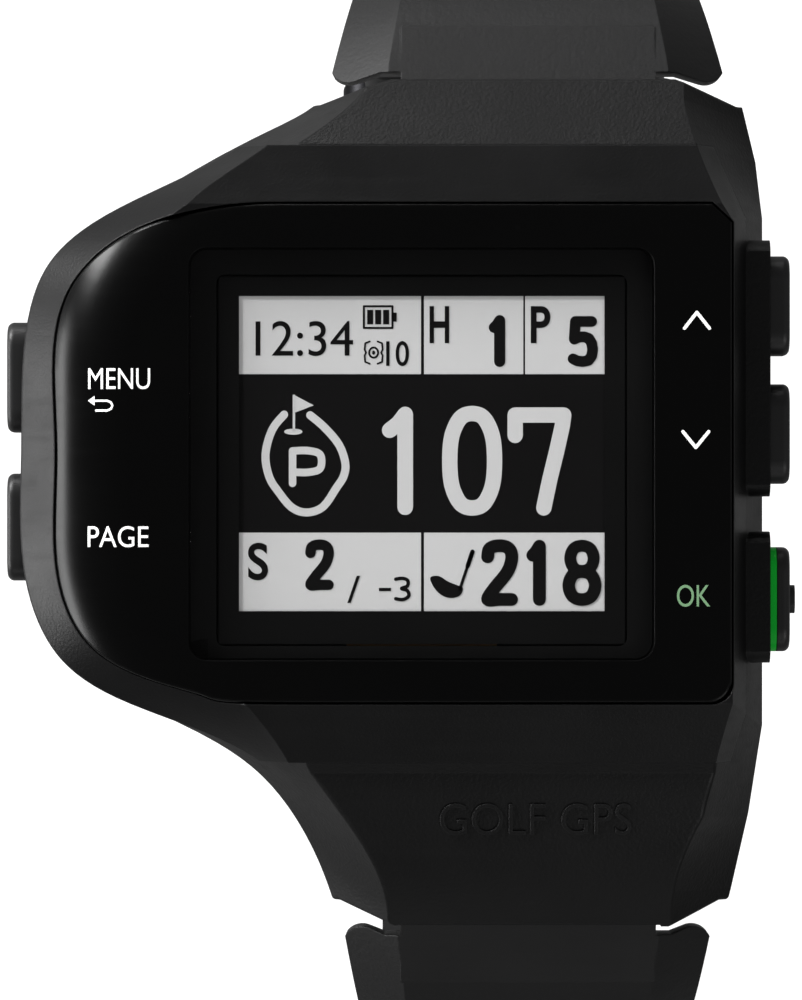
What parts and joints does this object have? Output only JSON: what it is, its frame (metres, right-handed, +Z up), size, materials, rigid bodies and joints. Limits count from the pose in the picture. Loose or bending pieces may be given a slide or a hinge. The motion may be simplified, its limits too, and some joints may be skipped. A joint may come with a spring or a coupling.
{
  "type": "golf gps watch",
  "caption": "Wrist watch for golf with a winged black case, a display window, side buttons, one with a green ring, and a two-piece resin strap with a buckle.",
  "frame": {"origin": "middle of the case back's outer face, on the line through both strap ends", "axes": "+Z up out of the face, +Y towards twelve o'clock, +X towards three o'clock"},
  "size_m": [0.0529, 0.0836, 0.0777],
  "materials": {
    "case_plastic": "fine matte grain",
    "shell_plastic": "satin, slightly finer grain than the case",
    "cover_gloss": "polished black",
    "window_glass": "polished, with a black border printed behind it",
    "lcd": "reflective display",
    "backlight": "white light guide",
    "flex": "amber film",
    "board": "solder resist",
    "chips": "moulded epoxy",
    "steel": "plain",
    "ceramic": "fired, with a silver electrode",
    "battery_wrap": "foil pouch",
    "seal_rubber": "smooth",
    "contact_gold": "gold plated",
    "button_plastic": "satin",
    "green": "semi-gloss",
    "strap_rubber": "matte, with a fine grain",
    "buckle_steel": "black coated"
  },
  "bodies": {
    "case": {"case_body": "case_plastic", "upper_shell": "shell_plastic", "face_cover": "cover_gloss", "display_window": "window_glass", "window_gasket": "seal_rubber", "lcd_panel": "lcd", "backlight": "backlight", "display_flex": "flex", "flex_connector": "backlight", "main_board": "board", "board_chips": "chips", "shield_can": "steel", "gps_antenna": "ceramic", "battery": "battery_wrap", "battery_tabs": "steel", "buzzer": "contact_gold", "side_switches": "steel", "button_seals": "seal_rubber", "case_back": "case_plastic", "back_gasket": "seal_rubber", "back_screws": "steel", "charging_pins": "contact_gold", "upper_spring_bar": "steel", "lower_spring_bar": "steel", "up_spring": "steel", "down_spring": "steel", "ok_spring": "steel", "menu_spring": "steel", "page_spring": "steel"},
    "up_button": {"up_button": "button_plastic", "up_clip": "steel"},
    "down_button": {"down_button": "button_plastic", "down_clip": "steel"},
    "ok_button": {"ok_button": "button_plastic", "ok_clip": "steel", "ok_ring": "green"},
    "menu_button": {"menu_button": "button_plastic", "menu_clip": "steel"},
    "page_button": {"page_button": "button_plastic", "page_clip": "steel"},
    "upper_strap": {"upper_strap": "strap_rubber", "buckle_spring_bar": "steel", "fixed_keeper": "strap_rubber"},
    "lower_strap": {"lower_strap": "strap_rubber"},
    "buckle_frame": {"buckle_frame": "buckle_steel"},
    "buckle_tongue": {"buckle_tongue": "buckle_steel"},
    "sliding_keeper": {"sliding_keeper": "strap_rubber"}
  },
  "joints": [
    {"name": "up_press", "type": "slide", "parent": "case", "child": "up_button", "axis": [-1, 0, 0], "range_m": [0, 0.0007], "stiffness_N_per_m": 800, "springref_m": -0.001, "deforming": ["up_spring"]},
    {"name": "down_press", "type": "slide", "parent": "case", "child": "down_button", "axis": [-1, 0, 0], "range_m": [0, 0.0007], "stiffness_N_per_m": 800, "springref_m": -0.001, "deforming": ["down_spring"]},
    {"name": "ok_press", "type": "slide", "parent": "case", "child": "ok_button", "axis": [-1, 0, 0], "range_m": [0, 0.0007], "stiffness_N_per_m": 800, "springref_m": -0.001, "deforming": ["ok_spring"]},
    {"name": "menu_press", "type": "slide", "parent": "case", "child": "menu_button", "axis": [1, 0, 0], "range_m": [0, 0.0007], "stiffness_N_per_m": 800, "springref_m": -0.001, "deforming": ["menu_spring"]},
    {"name": "page_press", "type": "slide", "parent": "case", "child": "page_button", "axis": [1, 0, 0], "range_m": [0, 0.0007], "stiffness_N_per_m": 800, "springref_m": -0.001, "deforming": ["page_spring"]},
    {"name": "upper_strap_pivot", "type": "hinge", "parent": "case", "child": "upper_strap", "pos_m": [0, 0.0258, 0.005], "axis": [1, 0, 0], "range_deg": [-8, 15]},
    {"name": "lower_strap_pivot", "type": "hinge", "parent": "case", "child": "lower_strap", "pos_m": [0, -0.0258, 0.005], "axis": [-1, 0, 0], "range_deg": [-8, 15]},
    {"name": "buckle_pivot", "type": "hinge", "parent": "upper_strap", "child": "buckle_frame", "pos_m": [0, 0.03092, -0.05255], "axis": [1, 0, 0], "range_deg": [-20, 30]},
    {"name": "tongue_pivot", "type": "hinge", "parent": "buckle_frame", "child": "buckle_tongue", "pos_m": [0, 0.03092, -0.05255], "axis": [1, 0, 0], "range_deg": [0, 70]},
    {"name": "keeper_travel", "type": "hinge", "parent": "upper_strap", "child": "sliding_keeper", "pos_m": [0, -0.07143, -0.01223], "axis": [1, 0, 0], "range_deg": [-5.4, 3.2]}
  ]
}
